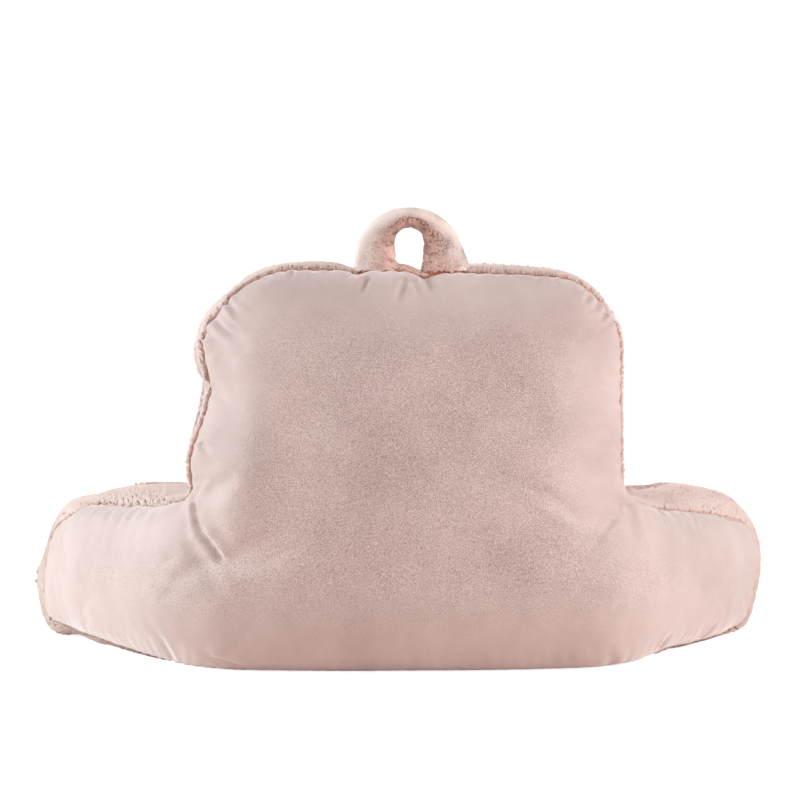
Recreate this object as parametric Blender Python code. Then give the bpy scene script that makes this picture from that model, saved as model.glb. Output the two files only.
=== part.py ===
"""Reading pillow with arms: a filled back rest with two arms and a carrying loop.

The back faces -Y, the arms reach towards +Y, and the pillow stands on z = 0. It is cut
like the real one: two T-shaped panels, one behind and one in front, joined all round
by a boxing strip. The flat T is bent forward at both arms, then filled.
"""
from collections import namedtuple
from math import cos, pi, radians, sin

import bmesh
import bpy
import numpy as np
from mathutils import Matrix, Vector
from mathutils.geometry import delaunay_2d_cdt

# ---- driving dimensions, metres -------------------------------------------------
BACK_UP = 0.41           # height of the seam along the back's top edge
SEAT_UP = 0.004          # height of the seam along the bottom edge
CORNER_ACROSS = 0.205    # from the middle to where the rear turns into an arm
ARM_TURN = radians(53)   # how far each arm is turned forward from the back's plane
ARM_REACH = 0.335        # length of an arm along its outer side, from that corner
ARM_THICK = 0.125        # boxing's width along an arm
REAR_LOW = 0.112         # how far behind y = 0 the rear seam runs at the floor
REAR_TOP = 0.060         # and at the top
FRONT_LOW = 0.042        # how far in front of y = 0 the front seam runs at the floor
FRONT_TOP = 0.048        # and at the top
BELLY = 0.026            # how far the rear bottom edge bows out in its middle
TOP_BOW = 0.007          # the same for the top edges
SKEW_RIGHT = 0.014       # the right corner stands this much further back at the floor,
SKEW_LEFT = 0.010        # and the left one this much
REAR_ROUND = 0.040       # half the stretch over which the rear makes the turn
FRONT_ROUND = 0.055      # the same on the front, where the inner corner is softer
ARM_LEVEL = 0.160        # the turn is whole below this height
BACK_LEVEL = 0.205       # and gone above this one
CROWN_REAR = 0.058       # how far the filling pushes out the back panel
CROWN_FRONT = 0.032      # the same for the plush front
CROWN_POWER = 0.36       # below 0.5 the crown is fuller near the seams
BACK_POWER = 0.13        # added to it on the back, which is rounder than the arms, and
BACK_TO = 0.205          # fading out from here
ARM_FROM = 0.285         # to here, across
END_POWER = 0.50         # added to it at the arms' ends, which are filled less tightly,
END_FROM = 0.415         # from here
END_TO = 0.510           # to here, across
BOXING_ROUND = 2.6       # squareness of the boxing's swollen section
BOXING_ROWS = 7          # rows of faces across the boxing
FILLET_STEPS = 9         # points on each rounded corner of the flat pattern
CORNER_SHARE = 0.48      # the most of a straight side that one corner's rounding takes
PLAN_STEPS = 40          # steps along a line that turns forward at a corner
SEAM_STEP = 0.0145       # spacing of points along the seam
EDGE_STEP = 0.0100       # distance of the first row of points inside the seam
PANEL_STEP = 0.0230      # spacing of points within a panel
FIRST_ROW = 0.6          # height of a panel's lowest row of points, in rows
NEAREST_EDGE = 0.90      # points keep this share of EDGE_STEP from the seam,
NEAREST_RING = 0.80      # those of the first row this share of it from each other,
NEAREST_GRID = 0.75      # and the others this share of PANEL_STEP
SHEET = 0.002            # thickness of the back panel's cloth
GAP = 0.0003             # clearance between pieces

# The carrying loop: a plush strap on edge at its ends, turning flat at the top.
LOOP_MIDDLE = 0.0015     # across
LOOP_PLANE = 0.015       # how far in front of the rear seam the strap stands
LOOP_FOOT_UP = 0.420     # where the straight legs become the arch
LOOP_SUNK_UP = 0.392     # the legs go down to here, inside the filling
LOOP_SPREAD = 0.0355     # from the middle to a leg's centre
LOOP_RISE = 0.0445       # from the feet to the top's centre
STRAP_FOOT = (0.0225, 0.0115)   # half sizes at the foot: in the arch's plane, across it
STRAP_TOP = (0.0108, 0.0200)    # and at the top
STRAP_SIDES = 14
ARCH_STEPS = 16          # sections along the arch, from foot to foot

Corner = namedtuple("Corner", "across up radius bulge")
Dip = namedtuple("Dip", "at depth half_width")
Fold = namedtuple("Fold", "across up")
Crease = namedtuple("Crease", "depth width folds")

# Corners of the flat T from the bottom edge round the right arm to the top: place,
# fillet radius, and how far the plush boxing swells beyond the seam there.
BOTTOM = Corner(0.0, SEAT_UP, 0.300, 0.012)
TOP = Corner(0.0, BACK_UP, 0.200, 0.008)
RIGHT = (
    Corner(0.440, 0.003, 0.400, 0.012),    # under the arm
    Corner(0.512, 0.007, 0.045, 0.026),    # lower corner of the arm's end
    Corner(0.546, 0.078, 0.060, 0.041),    # arm's end
    Corner(0.524, 0.120, 0.045, 0.036),    # upper corner of the arm's end
    Corner(0.430, 0.138, 0.090, 0.030),    # arm's top
    Corner(0.300, 0.154, 0.060, 0.012),
    Corner(0.2210, 0.174, 0.026, 0.005),   # armpit
    Corner(0.2215, 0.270, 0.200, 0.006),   # side of the back
    Corner(0.2245, 0.354, 0.070, 0.006),
    Corner(0.1810, 0.4025, 0.070, 0.009),  # shoulder
    Corner(0.1200, 0.4055, 0.120, 0.009),
)
LEFT = (
    Corner(-0.360, 0.007, 0.400, 0.014),
    Corner(-0.522, 0.016, 0.040, 0.031),
    Corner(-0.5235, 0.062, 0.080, 0.042),
    Corner(-0.508, 0.121, 0.060, 0.022),
    Corner(-0.422, 0.1540, 0.120, 0.016),
    Corner(-0.300, 0.157, 0.060, 0.018),
    Corner(-0.2190, 0.175, 0.024, 0.005),
    Corner(-0.2260, 0.215, 0.060, 0.006),
    Corner(-0.2055, 0.285, 0.080, 0.010),
    Corner(-0.2090, 0.322, 0.060, 0.017),
    Corner(-0.2100, 0.352, 0.075, 0.013),
    Corner(-0.1560, 0.4110, 0.085, 0.008),
)
TOP_SHARE = 0.9          # the top edge is what lies above this share of BACK_UP
TOP_DIPS = (
    Dip(0.0180, 0.0100, 0.020),   # the panel is drawn down between the loop's legs
    Dip(-0.0560, 0.0040, 0.015),  # and beside them
)
# Creases that run down and inwards from each armpit; depth is the share of the crown
# that they take away.
CREASES = (
    Crease(0.48, 0.016, (Fold(-0.220, 0.158), Fold(-0.205, 0.128), Fold(-0.168, 0.085))),
    Crease(0.22, 0.013, (Fold(0.212, 0.172), Fold(0.200, 0.143), Fold(0.180, 0.110))),
)


# ---- the flat pattern -----------------------------------------------------------
def fillet(before, corner, after):
    """Points of the arc that rounds one corner, as across, up and bulge."""
    here = Vector((corner.across, corner.up))
    to_before = Vector((before.across, before.up)) - here
    to_after = Vector((after.across, after.up)) - here
    turn = to_before.angle(to_after)
    reach = corner.radius / np.tan(turn / 2)
    reach = min(reach, CORNER_SHARE * to_before.length, CORNER_SHARE * to_after.length)
    start = here + to_before.normalized() * reach
    end = here + to_after.normalized() * reach
    for step in range(FILLET_STEPS):
        t = step / (FILLET_STEPS - 1)
        point = start * (1 - t) ** 2 + here * 2 * t * (1 - t) + end * t ** 2
        yield point.x, point.y, corner.bulge


def dipped(point):
    """Lower a point of the top edge where the panel is drawn down."""
    across, up, bulge = point
    if up < TOP_SHARE * BACK_UP:
        return point
    for dip in TOP_DIPS:
        near = min(1.0, abs(across - dip.at) / dip.half_width)
        up -= dip.depth * (0.5 + 0.5 * cos(pi * near))
    return across, up, bulge


def seam_loop():
    """The closed seam of the flat T as evenly spaced rows: across, up, bulge."""
    corners = (BOTTOM,) + RIGHT + (TOP,) + tuple(reversed(LEFT))
    dense = []
    for index, corner in enumerate(corners):
        after = corners[(index + 1) % len(corners)]
        dense += fillet(corners[index - 1], corner, after)
    dense = np.array(dense + dense[:1])
    run = np.hypot(*np.diff(dense[:, :2], axis=0).T)
    along = np.concatenate([[0.0], np.cumsum(run)])
    count = int(round(along[-1] / SEAM_STEP))
    marks = np.linspace(0.0, along[-1], count, endpoint=False)
    rows = [np.interp(marks, along, dense[:, column]) for column in range(3)]
    return [dipped(point) for point in zip(*rows)]


def outward(loop):
    """Unit normals of the flat seam, pointing away from the panel."""
    rim = np.array([(across, up) for across, up, _ in loop])
    along = np.roll(rim, -1, axis=0) - np.roll(rim, 1, axis=0)
    normals = np.stack([along[:, 1], -along[:, 0]], axis=1)
    return normals / np.hypot(*normals.T)[:, None]


def distance_to_line(point, line):
    """Shortest distance from a flat point to a run of straight pieces, and how far on."""
    nearest = (float("inf"), 0.0)
    for index in range(len(line) - 1):
        start = np.array(line[index])
        leg = np.array(line[index + 1]) - start
        share = float(np.clip(np.dot(point - start, leg) / np.dot(leg, leg), 0, 1))
        gap = float(np.hypot(*(point - start - leg * share)))
        nearest = min(nearest, (gap, (index + share) / (len(line) - 1)))
    return nearest


def crease_points():
    """Extra points along each crease, so that it keeps its line in the mesh."""
    for crease in CREASES:
        line = [np.array(fold) for fold in crease.folds]
        for start, end in zip(line, line[1:]):
            steps = max(2, int(np.hypot(*(end - start)) / EDGE_STEP))
            for step in range(steps):
                yield start + (end - start) * (step + 0.5) / steps


def ring_points(loop):
    """A row of points just inside the seam, so that the panel's edge rolls evenly."""
    for (across, up, _), (n_across, n_up) in zip(loop, outward(loop)):
        yield np.array((across - n_across * EDGE_STEP, up - n_up * EDGE_STEP))


def grid_points():
    """Evenly spaced points in staggered rows over the whole flat T."""
    row_step = PANEL_STEP * sin(radians(60))
    widest = max(abs(corner.across) for corner in RIGHT + LEFT)
    columns = int(widest / PANEL_STEP) + 1
    for row in range(int(BACK_UP / row_step) + 1):
        for column in range(-columns, columns + 1):
            across = (column + 0.5 * (row % 2)) * PANEL_STEP
            yield np.array((across, SEAT_UP + (row + FIRST_ROW) * row_step))


def panel_mesh(loop):
    """Triangles that fill the seam loop: flat points, triangles, loop point count."""
    rim = np.array([(across, up) for across, up, _ in loop])
    kept = list(crease_points())
    sources = (
        (ring_points(loop), NEAREST_RING * EDGE_STEP),
        (grid_points(), NEAREST_GRID * PANEL_STEP),
    )
    for source, spacing in sources:
        for point in source:
            from_rim = np.min(np.hypot(*(rim - point).T))
            if not inside(point, rim) or from_rim < NEAREST_EDGE * EDGE_STEP:
                continue
            if all(np.hypot(*(point - other)) > spacing for other in kept):
                kept.append(point)
    points = [Vector(point) for point in rim] + [Vector(point) for point in kept]
    edges = [(i, (i + 1) % len(rim)) for i in range(len(rim))]
    flat, _, triangles, _, _, _ = delaunay_2d_cdt(points, edges, [], 1, 1e-6)
    return np.array([tuple(point) for point in flat]), triangles, len(rim)


def inside(point, rim):
    """Whether a flat point lies inside the closed rim."""
    nexts = np.roll(rim, -1, axis=0)
    spans = (rim[:, 1] > point[1]) != (nexts[:, 1] > point[1])
    rise = np.where(spans, nexts[:, 1] - rim[:, 1], 1.0)
    crossing = rim[:, 0] + (point[1] - rim[:, 1]) / rise * (nexts[:, 0] - rim[:, 0])
    return np.count_nonzero(spans & (point[0] < crossing)) % 2 == 1


def crown_shares(flat, triangles, rim_count):
    """Height of a stretched film over the panel, 0 at the seam and 1 at its highest."""
    count = len(flat)
    matrix = np.zeros((count, count))
    load = np.zeros(count)
    for triangle in triangles:
        for turn in range(3):
            a, b, c = (triangle[(turn + k) % 3] for k in range(3))
            to_a = flat[a] - flat[c]
            to_b = flat[b] - flat[c]
            area = abs(to_a[0] * to_b[1] - to_a[1] * to_b[0]) / 2
            stiffness = np.dot(to_a, to_b) / (4 * area)
            matrix[a, b] -= stiffness
            matrix[b, a] -= stiffness
            matrix[a, a] += stiffness
            matrix[b, b] += stiffness
            load[c] += area / 3
    matrix[:rim_count] = 0.0
    matrix[range(rim_count), range(rim_count)] = 1.0
    load[:rim_count] = 0.0
    film = np.maximum(np.linalg.solve(matrix, load), 0.0)
    powers = np.full(count, CROWN_POWER)
    for index, (across, _) in enumerate(flat):
        powers[index] += BACK_POWER * ease((ARM_FROM - abs(across)) / (ARM_FROM - BACK_TO))
        powers[index] += END_POWER * ease((abs(across) - END_FROM) / (END_TO - END_FROM))
    shares = (film / film.max()) ** powers
    for index in range(rim_count, count):
        for crease in CREASES:
            gap, on = distance_to_line(flat[index], crease.folds)
            fade = 1.0 - on ** 2
            shares[index] *= 1.0 - crease.depth * fade * np.exp(-(gap / crease.width) ** 2)
    return shares


# ---- from flat to filled --------------------------------------------------------
def ease(value):
    value = min(1.0, max(0.0, value))
    return value * value * (3.0 - 2.0 * value)


def turned(length, corner, rounding, level):
    """Plan of a line that runs across and turns forward at a corner: x, y and turn."""
    x = y = turn = 0.0
    for step in range(PLAN_STEPS + 1):
        mark = length * min(1.0, (step + 0.5) / PLAN_STEPS)
        turn = ARM_TURN * level * ease((mark - corner + rounding) / (2 * rounding))
        if step < PLAN_STEPS:
            x += cos(turn) * length / PLAN_STEPS
            y += sin(turn) * length / PLAN_STEPS
    return x, y, turn


def arm_level(up):
    """1 where the arms are, 0 above them."""
    return 1.0 - ease((up - ARM_LEVEL) / (BACK_LEVEL - ARM_LEVEL))


def bow(across, up, low, top):
    """How far an edge of the back bows out in the middle."""
    share = min(1.0, max(0.0, up / BACK_UP))
    middle = 1.0 - min(1.0, abs(across) / CORNER_ACROSS) ** 2
    return middle * (low * (1.0 - share) ** 2 + top * share ** 2)


def skewed(across, up):
    """Both corners are pushed back a little, unevenly and most of all at the floor."""
    side = min(1.0, abs(across) / CORNER_ACROSS)
    most = SKEW_RIGHT if across > 0 else SKEW_LEFT
    return most * side * (1.0 - min(1.0, max(0.0, up / BACK_UP)))


def rear_line(across, up):
    share = min(1.0, max(0.0, up / BACK_UP))
    x, y, turn = turned(abs(across), CORNER_ACROSS, REAR_ROUND, arm_level(up))
    y -= REAR_LOW + (REAR_TOP - REAR_LOW) * share + bow(across, up, BELLY, TOP_BOW)
    y -= skewed(across, up)
    return x, y, turn


def front_line(across, up):
    """The front seam's plan: parallel to the rear along an arm, ARM_THICK away."""
    share = min(1.0, max(0.0, up / BACK_UP))
    depth = FRONT_LOW + (FRONT_TOP - FRONT_LOW) * share
    behind = REAR_LOW + (REAR_TOP - REAR_LOW) * share
    lost = (depth + behind - ARM_THICK * cos(ARM_TURN)) / sin(ARM_TURN)
    corner = CORNER_ACROSS - ARM_THICK * sin(ARM_TURN) + lost * cos(ARM_TURN)
    length = abs(across)
    if length < CORNER_ACROSS:
        inner = length * corner / CORNER_ACROSS
    else:
        inner = corner + (length - CORNER_ACROSS) * (ARM_REACH - lost) / ARM_REACH
    level = arm_level(up)
    inner = length + (inner - length) * level
    x, y, turn = turned(inner, corner, FRONT_ROUND, level)
    y += depth + bow(across, up, TOP_BOW, TOP_BOW) - skewed(across, up)
    return x, y, turn


def place(across, up, share, crown=0.0):
    """A point of the pillow: share is 0 at the rear seam's line and 1 at the front's."""
    side = 1.0 if across >= 0 else -1.0
    rear_x, rear_y, rear_turn = rear_line(across, up)
    front_x, front_y, front_turn = front_line(across, up)
    x = rear_x + (front_x - rear_x) * share
    y = rear_y + (front_y - rear_y) * share
    if share < 0.5:
        x += sin(rear_turn) * crown
        y -= cos(rear_turn) * crown
    else:
        x -= sin(front_turn) * crown
        y += cos(front_turn) * crown
    return Vector((side * x, y, max(0.0, up)))


def boxing_rows(loop):
    """Rows of points across the boxing strip, from the rear seam to the front one."""
    normals = outward(loop)
    rows = []
    for row in range(1, BOXING_ROWS):
        angle = pi * row / BOXING_ROWS
        share = abs(cos(angle)) ** (2 / BOXING_ROUND)
        share = 0.5 - 0.5 * share if cos(angle) > 0 else 0.5 + 0.5 * share
        swell = sin(angle) ** (2 / BOXING_ROUND)
        line = []
        for (across, up, bulge), (n_across, n_up) in zip(loop, normals):
            reach = bulge * swell
            line.append(place(across + n_across * reach, up + n_up * reach, share))
        rows.append(line)
    return rows


def body_mesh(loop, flat, triangles, shares):
    """The whole filled body; the rear panel's vertices come first."""
    rim_count = len(loop)
    mesh = bmesh.new()
    panels = []
    for face, crown in ((0.0, CROWN_REAR), (1.0, CROWN_FRONT)):
        points = []
        for (across, up), share in zip(flat, shares):
            points.append(mesh.verts.new(place(across, up, face, crown * share)))
        panels.append(points)
    rear, front = panels
    rows = [[mesh.verts.new(point) for point in line] for line in boxing_rows(loop)]
    rows = [rear[:rim_count]] + rows + [front[:rim_count]]
    for triangle in triangles:
        mesh.faces.new([rear[i] for i in triangle])
        mesh.faces.new([front[i] for i in reversed(triangle)])
    for upper, lower in zip(rows, rows[1:]):
        for i in range(rim_count):
            j = (i + 1) % rim_count
            mesh.faces.new((upper[j], upper[i], lower[i], lower[j]))
    bmesh.ops.triangulate(mesh, faces=[face for face in mesh.faces if len(face.verts) > 3])
    bmesh.ops.recalc_face_normals(mesh, faces=mesh.faces)
    mesh.normal_update()
    return mesh


def grown_body(body, reach):
    """A copy of the body pushed out along its normals, used only as a cutter."""
    grown = body.copy()
    for vertex, source in zip(grown.verts, body.verts):
        vertex.co = source.co + source.normal * reach
    return grown


def panel_sheet(body, triangles, flat_count, rim_count):
    """The back panel's cloth: the body's rear faces, lifted clear and given thickness."""
    mesh = bmesh.new()
    body.verts.ensure_lookup_table()
    under = []
    over = []
    for index in range(flat_count):
        vertex = body.verts[index]
        for layer, lift in ((under, GAP), (over, GAP + SHEET)):
            point = vertex.co + vertex.normal * lift
            layer.append(mesh.verts.new((point.x, point.y, max(point.z, GAP))))
    for triangle in triangles:
        mesh.faces.new([over[i] for i in triangle])
        mesh.faces.new([under[i] for i in reversed(triangle)])
    for i in range(rim_count):
        j = (i + 1) % rim_count
        mesh.faces.new((over[j], over[i], under[i], under[j]))
    bmesh.ops.triangulate(mesh, faces=[face for face in mesh.faces if len(face.verts) > 3])
    bmesh.ops.recalc_face_normals(mesh, faces=mesh.faces)
    return mesh


# ---- the carrying loop ----------------------------------------------------------
def loop_sections():
    """Centres, arch directions and half sizes of the strap from foot to foot."""
    stations = [(pi, LOOP_SUNK_UP - LOOP_FOOT_UP)]
    stations += [(pi - pi * step / ARCH_STEPS, 0.0) for step in range(ARCH_STEPS + 1)]
    stations += [(0.0, LOOP_SUNK_UP - LOOP_FOOT_UP)]
    plane = -REAR_TOP - TOP_BOW + LOOP_PLANE
    for angle, drop in stations:
        centre = Vector((LOOP_MIDDLE + LOOP_SPREAD * cos(angle), plane,
                         LOOP_FOOT_UP + LOOP_RISE * sin(angle) + drop))
        away = Vector((cos(angle) * LOOP_RISE, 0.0, sin(angle) * LOOP_SPREAD)).normalized()
        risen = sin(angle) ** 2
        sizes = [foot + (top - foot) * risen for foot, top in zip(STRAP_FOOT, STRAP_TOP)]
        yield centre, away, sizes


def strap_mesh():
    """The strap's closed solid."""
    mesh = bmesh.new()
    rings = []
    for centre, away, (in_plane, across) in loop_sections():
        ring = []
        for side in range(STRAP_SIDES):
            angle = 2 * pi * side / STRAP_SIDES
            offset = away * in_plane * cos(angle)
            offset += Vector((0.0, across * sin(angle), 0.0))
            ring.append(mesh.verts.new(centre + offset))
        rings.append(ring)
    for ring, following in zip(rings, rings[1:]):
        for i in range(STRAP_SIDES):
            j = (i + 1) % STRAP_SIDES
            mesh.faces.new((ring[i], ring[j], following[j], following[i]))
    mesh.faces.new(rings[0])
    mesh.faces.new(rings[-1])
    bmesh.ops.recalc_face_normals(mesh, faces=mesh.faces)
    return mesh


# ---- objects and materials ------------------------------------------------------
def material(name, colour, roughness):
    made = bpy.data.materials.new(name)
    made.use_nodes = True
    shader = made.node_tree.nodes["Principled BSDF"]
    shader.inputs["Base Color"].default_value = (*colour, 1.0)
    shader.inputs["Roughness"].default_value = roughness
    shader.inputs["Metallic"].default_value = 0.0
    made.diffuse_color = (*colour, 1.0)
    return made


def add_object(name, shape, finish=None):
    mesh = bpy.data.meshes.new(name)
    shape.to_mesh(mesh)
    shape.free()
    mesh.shade_smooth()
    mesh.set_sharp_from_angle(angle=radians(50))
    made = bpy.data.objects.new(name, mesh)
    bpy.context.scene.collection.objects.link(made)
    if finish:
        mesh.materials.append(finish)
    return made


def stand_on_origin(pieces, cutter):
    """Bring the middle of the pillow's footprint to the origin and its base to z = 0."""
    corners = [vertex.co for piece in pieces for vertex in piece.data.vertices]
    low = Vector([min(corner[axis] for corner in corners) for axis in range(3)])
    high = Vector([max(corner[axis] for corner in corners) for axis in range(3)])
    middle = (low + high) / 2
    shift = Matrix.Translation((-middle.x, -middle.y, -low.z))
    for made in pieces + [cutter]:
        made.data.transform(shift)


def main():
    for old in list(bpy.data.objects):
        bpy.data.objects.remove(old)
    loop = seam_loop()
    flat, triangles, rim_count = panel_mesh(loop)
    shares = crown_shares(flat, triangles, rim_count)
    body = body_mesh(loop, flat, triangles, shares)
    grown = grown_body(body, GAP)
    sheet = panel_sheet(body, triangles, len(flat), rim_count)

    plush = material("plush_pink", (0.76, 0.56, 0.51), 0.95)
    smooth = material("smooth_pink", (0.74, 0.58, 0.55), 0.80)
    cushion = add_object("cushion_body", body, plush)
    panel = add_object("back_panel", sheet, smooth)
    handle = add_object("handle", strap_mesh(), plush)
    cutter = add_object("body_clearance", grown)
    cutter.hide_render = True
    cutter.display_type = "WIRE"
    stand_on_origin([cushion, panel, handle], cutter)
    cut = handle.modifiers.new("clear_of_body", "BOOLEAN")
    cut.operation = "DIFFERENCE"
    cut.object = cutter


main()
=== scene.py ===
# Looks of the reading pillow with arms: cloth, stuffing, pile, camera and light.
from math import cos, pi, radians, sin

import bmesh
import bpy
import numpy as np
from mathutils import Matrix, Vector, noise
from mathutils.bvhtree import BVHTree
from mathutils.kdtree import KDTree


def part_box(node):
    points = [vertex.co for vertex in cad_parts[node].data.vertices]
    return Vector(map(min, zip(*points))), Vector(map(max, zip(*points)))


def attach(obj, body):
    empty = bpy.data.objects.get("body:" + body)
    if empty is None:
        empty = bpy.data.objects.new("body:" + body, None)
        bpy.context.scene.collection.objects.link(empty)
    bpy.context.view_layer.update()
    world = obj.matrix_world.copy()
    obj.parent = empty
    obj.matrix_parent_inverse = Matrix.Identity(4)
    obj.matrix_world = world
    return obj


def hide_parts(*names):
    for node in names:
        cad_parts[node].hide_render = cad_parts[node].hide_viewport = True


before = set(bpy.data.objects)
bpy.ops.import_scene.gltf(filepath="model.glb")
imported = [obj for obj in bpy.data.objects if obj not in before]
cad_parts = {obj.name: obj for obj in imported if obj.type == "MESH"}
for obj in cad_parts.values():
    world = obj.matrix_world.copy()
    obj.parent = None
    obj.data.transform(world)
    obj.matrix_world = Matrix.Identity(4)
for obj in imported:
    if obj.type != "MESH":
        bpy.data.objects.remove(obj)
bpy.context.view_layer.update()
bpy.ops.object.select_all(action='DESELECT')
scene = bpy.context.scene
noise.seed_set(5)                  # the pile's stroke comes from this noise, the same each run
print("frame loaded:", sorted(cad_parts))

mm = 0.001
weldWithin = 0.02 * mm             # the solids' loose triangles are joined where they meet


# small tools for meshes
def newPiece(name, points, faces):
    mesh = bpy.data.meshes.new(name)
    mesh.from_pydata(points, [], faces)
    mesh.update()
    piece = bpy.data.objects.new(name, mesh)
    scene.collection.objects.link(piece)
    return piece


def mergedCopy(nodeName, pieceName):
    shape = bmesh.new()
    shape.from_mesh(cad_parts[nodeName].data)
    bmesh.ops.remove_doubles(shape, verts=shape.verts, dist=weldWithin)
    shape.verts.index_update()
    points = [vert.co.copy() for vert in shape.verts]
    faces = [[vert.index for vert in face.verts] for face in shape.faces]
    shape.free()
    return newPiece(pieceName, points, faces)


def pointsOf(piece):
    points = np.zeros(len(piece.data.vertices) * 3)
    piece.data.vertices.foreach_get("co", points)
    return points.reshape(-1, 3)


def normalsOf(piece):
    normals = np.zeros(len(piece.data.vertices) * 3)
    piece.data.vertices.foreach_get("normal", normals)
    return normals.reshape(-1, 3)


def movePoints(piece, points):
    piece.data.vertices.foreach_set("co", points.ravel())
    piece.data.update()


def smoother(piece, levels):
    for other in bpy.context.selected_objects:
        other.select_set(False)
    piece.select_set(True)
    bpy.context.view_layer.objects.active = piece
    modifier = piece.modifiers.new("smoother", 'SUBSURF')
    modifier.levels = modifier.render_levels = levels
    bpy.ops.object.modifier_apply(modifier=modifier.name)
    piece.select_set(False)


def treeOf(piece):
    points = [Vector(point) for point in pointsOf(piece)]
    return BVHTree.FromPolygons(points, [tuple(face.vertices) for face in piece.data.polygons])


def rimOf(piece):
    shape = bmesh.new()
    shape.from_mesh(piece.data)
    found = [vert.index for vert in shape.verts if vert.is_boundary]
    shape.free()
    return found


def nearTree(points):
    tree = KDTree(len(points))
    for index, point in enumerate(points):
        tree.insert(point, index)
    tree.balance()
    return tree


def fromRim(points, rim):
    # distance of every point from the nearest seam point
    tree = nearTree(points[rim])
    return np.array([tree.find(point)[2] for point in points])


def softStep(values, low, high):
    # 0 below low, 1 above high, and rounded between them
    share = np.clip((values - low) / (high - low), 0, 1)
    return share * share * (3 - 2 * share)


def unit(vectors):
    return vectors / np.maximum(np.linalg.norm(vectors, axis=1), 1e-9)[:, None]


def noiseAt(points, size):
    return np.array([noise.noise(Vector(point)) for point in points / size])


clothFeel = {"mass": 0.2, "damping": 8, "airDamping": 2, "leastEase": 0.01}


def blowUp(piece, held, eased, settings):
    # the cloth simulation: air pressure from within, the seam held where it is sewn
    start = pointsOf(piece)
    seam = piece.vertex_groups.new(name="seam")
    seam.add(held, 1.0, 'REPLACE')
    ease = piece.vertex_groups.new(name="ease")
    for index, weight in enumerate(eased):
        if weight > clothFeel["leastEase"]:
            ease.add([index], float(weight), 'REPLACE')
    cloth = piece.modifiers.new("stuffing", 'CLOTH')
    given = cloth.settings
    given.quality = settings["quality"]
    given.mass = clothFeel["mass"]
    given.tension_stiffness = given.compression_stiffness = settings["stretch"]
    given.shear_stiffness = settings["shear"]
    given.bending_stiffness = settings["bend"]
    given.tension_damping = given.compression_damping = clothFeel["damping"]
    given.air_damping = clothFeel["airDamping"]
    given.vertex_group_mass = "seam"
    given.vertex_group_shrink = "ease"
    given.shrink_min = 0.0
    given.shrink_max = -settings["ease"]
    given.use_pressure = True
    given.use_pressure_volume = True
    given.target_volume = 0.0
    given.uniform_pressure_force = settings["pressure"]
    given.effector_weights.gravity = 0
    cloth.collision_settings.use_collision = False
    cloth.collision_settings.use_self_collision = False
    for step in range(1, settings["frames"] + 1):
        scene.frame_set(step)
    graph = bpy.context.evaluated_depsgraph_get()
    shown = piece.evaluated_get(graph)
    moved = np.array([vert.co for vert in shown.data.vertices]) - start
    scene.frame_set(1)
    piece.modifiers.remove(cloth)
    length = np.linalg.norm(moved, axis=1)
    cap = settings["cap"]
    share = cap * np.tanh(length / cap) / np.maximum(length, 1e-9)
    movePoints(piece, start + moved * share[:, None])
    print(piece.name, "blown up, mean and most mm:",
          round(length.mean() / mm, 2), round(length.max() / mm, 2))


# the back: one smooth cloth panel over the filling
panelLook = {
    "skinOver": 1.3 * mm,      # the sheet's outer skin lies further than this from the filling
    "groove": 3.0 * mm,        # how deep the seam lies
    "easeBand": 38 * mm,       # the cloth is gathered this far in from the seam
    "seedBumps": 0.5 * mm,     # unevenness that the puckers grow from
    "seedSize": 19 * mm,
    "leastSeed": 0.3,          # share of them where nothing is drawn up
    "lumps": 1.3 * mm,         # soft unevenness of the stuffing below
    "lumpSize": 75 * mm,
    "wrinkles": 0.22 * mm,
    "wrinkleSize": 15 * mm,
    "wrinkleShift": 3,         # another part of the noise
    "lumpsFrom": 30 * mm,      # all of it fades out this close to the seam
    "thick": 1.6 * mm,
    "flat": (1.12, 0.47),      # width and height of the cloth before it is sewn
    "overFloor": (0.3 * mm, 0.6 * mm),   # its inner and outer side
    "leastGather": 0.12,
    "gatherVary": (0.3, 60 * mm),   # share, and over what length
    "toFloor": 6 * mm,         # how far the weight presses the lower seam down
    "ends": (-1.5, 2.5),       # how far the seam at the left and the right arm's end moves out, mm
    "grainFrom": (30 * mm, 120 * mm),   # the nap is brushed smooth near the seams
    "gathers": [               # where the seam is drawn up: x, z, reach in mm, share
        (-205, 350, 45, 0.9), (-212, 290, 30, 0.7), (-150, 405, 40, 0.35), (-55, 405, 30, 0.9),
        (10, 402, 35, 0.9), (195, 370, 35, 0.9), (100, 405, 40, 0.3), (-230, 170, 35, 0.6),
        (-330, 150, 60, 0.4), (215, 175, 30, 0.6), (270, 155, 45, 0.5), (345, 20, 40, 0.7),
        (-345, 40, 50, 0.4), (-395, 110, 50, 0.2), (200, 5, 40, 0.4), (-250, 5, 40, 0.4),
    ],
    "air": {"quality": 6, "stretch": 22, "shear": 8, "bend": 0.12, "ease": 0.045,
            "pressure": 2.2, "frames": 20, "cap": 6 * mm},
}
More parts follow.
